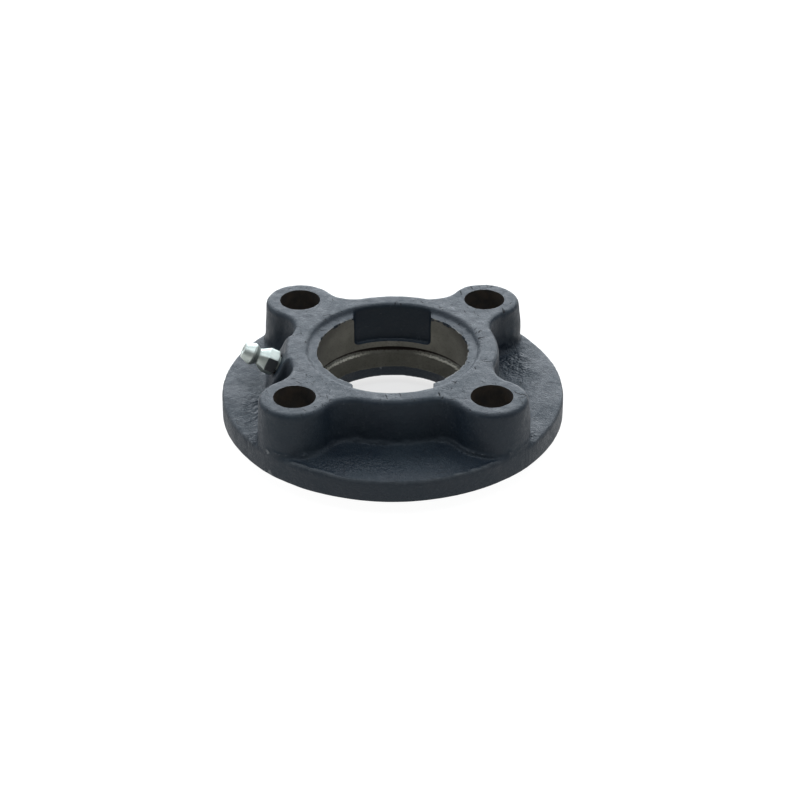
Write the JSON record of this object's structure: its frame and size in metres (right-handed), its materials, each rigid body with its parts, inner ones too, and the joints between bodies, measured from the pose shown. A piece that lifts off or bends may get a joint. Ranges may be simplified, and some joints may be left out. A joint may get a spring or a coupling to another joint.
{
  "type": "round flange bearing housing",
  "caption": "Round cast flange housing with a spherical seat for an insert bearing, bolt bosses, a centring spigot and a slanted grease nipple.",
  "frame": {"origin": "on the shaft axis, in the plane of the flange's mounting face, at the centre of the bolt circle", "axes": "+Z along the shaft axis, from the machine towards the hub's open front; the grease nipple leans out towards -X; the loading slots lie along Y"},
  "size_m": [0.1, 0.1, 0.0264],
  "materials": {
    "cast_housing": "dark blue-grey primer paint on a sand-cast surface, bare where it is machined",
    "zinc_plated_steel": "bright zinc plating, slightly greenish",
    "bearing_steel": "polished",
    "spring_steel": "drawn wire"
  },
  "bodies": {
    "housing": {"housing": "cast_housing", "grease_nipple_body": "zinc_plated_steel", "nipple_spring": "spring_steel"},
    "check_ball": {"nipple_check_ball": "bearing_steel"}
  },
  "joints": [
    {"name": "check_ball_slide", "type": "slide", "parent": "housing", "child": "check_ball", "axis": [0.891, 0, -0.454], "range_m": [0, 0.0008], "stiffness_N_per_m": 400, "springref_m": -0.001, "deforming": ["nipple_spring"]}
  ]
}
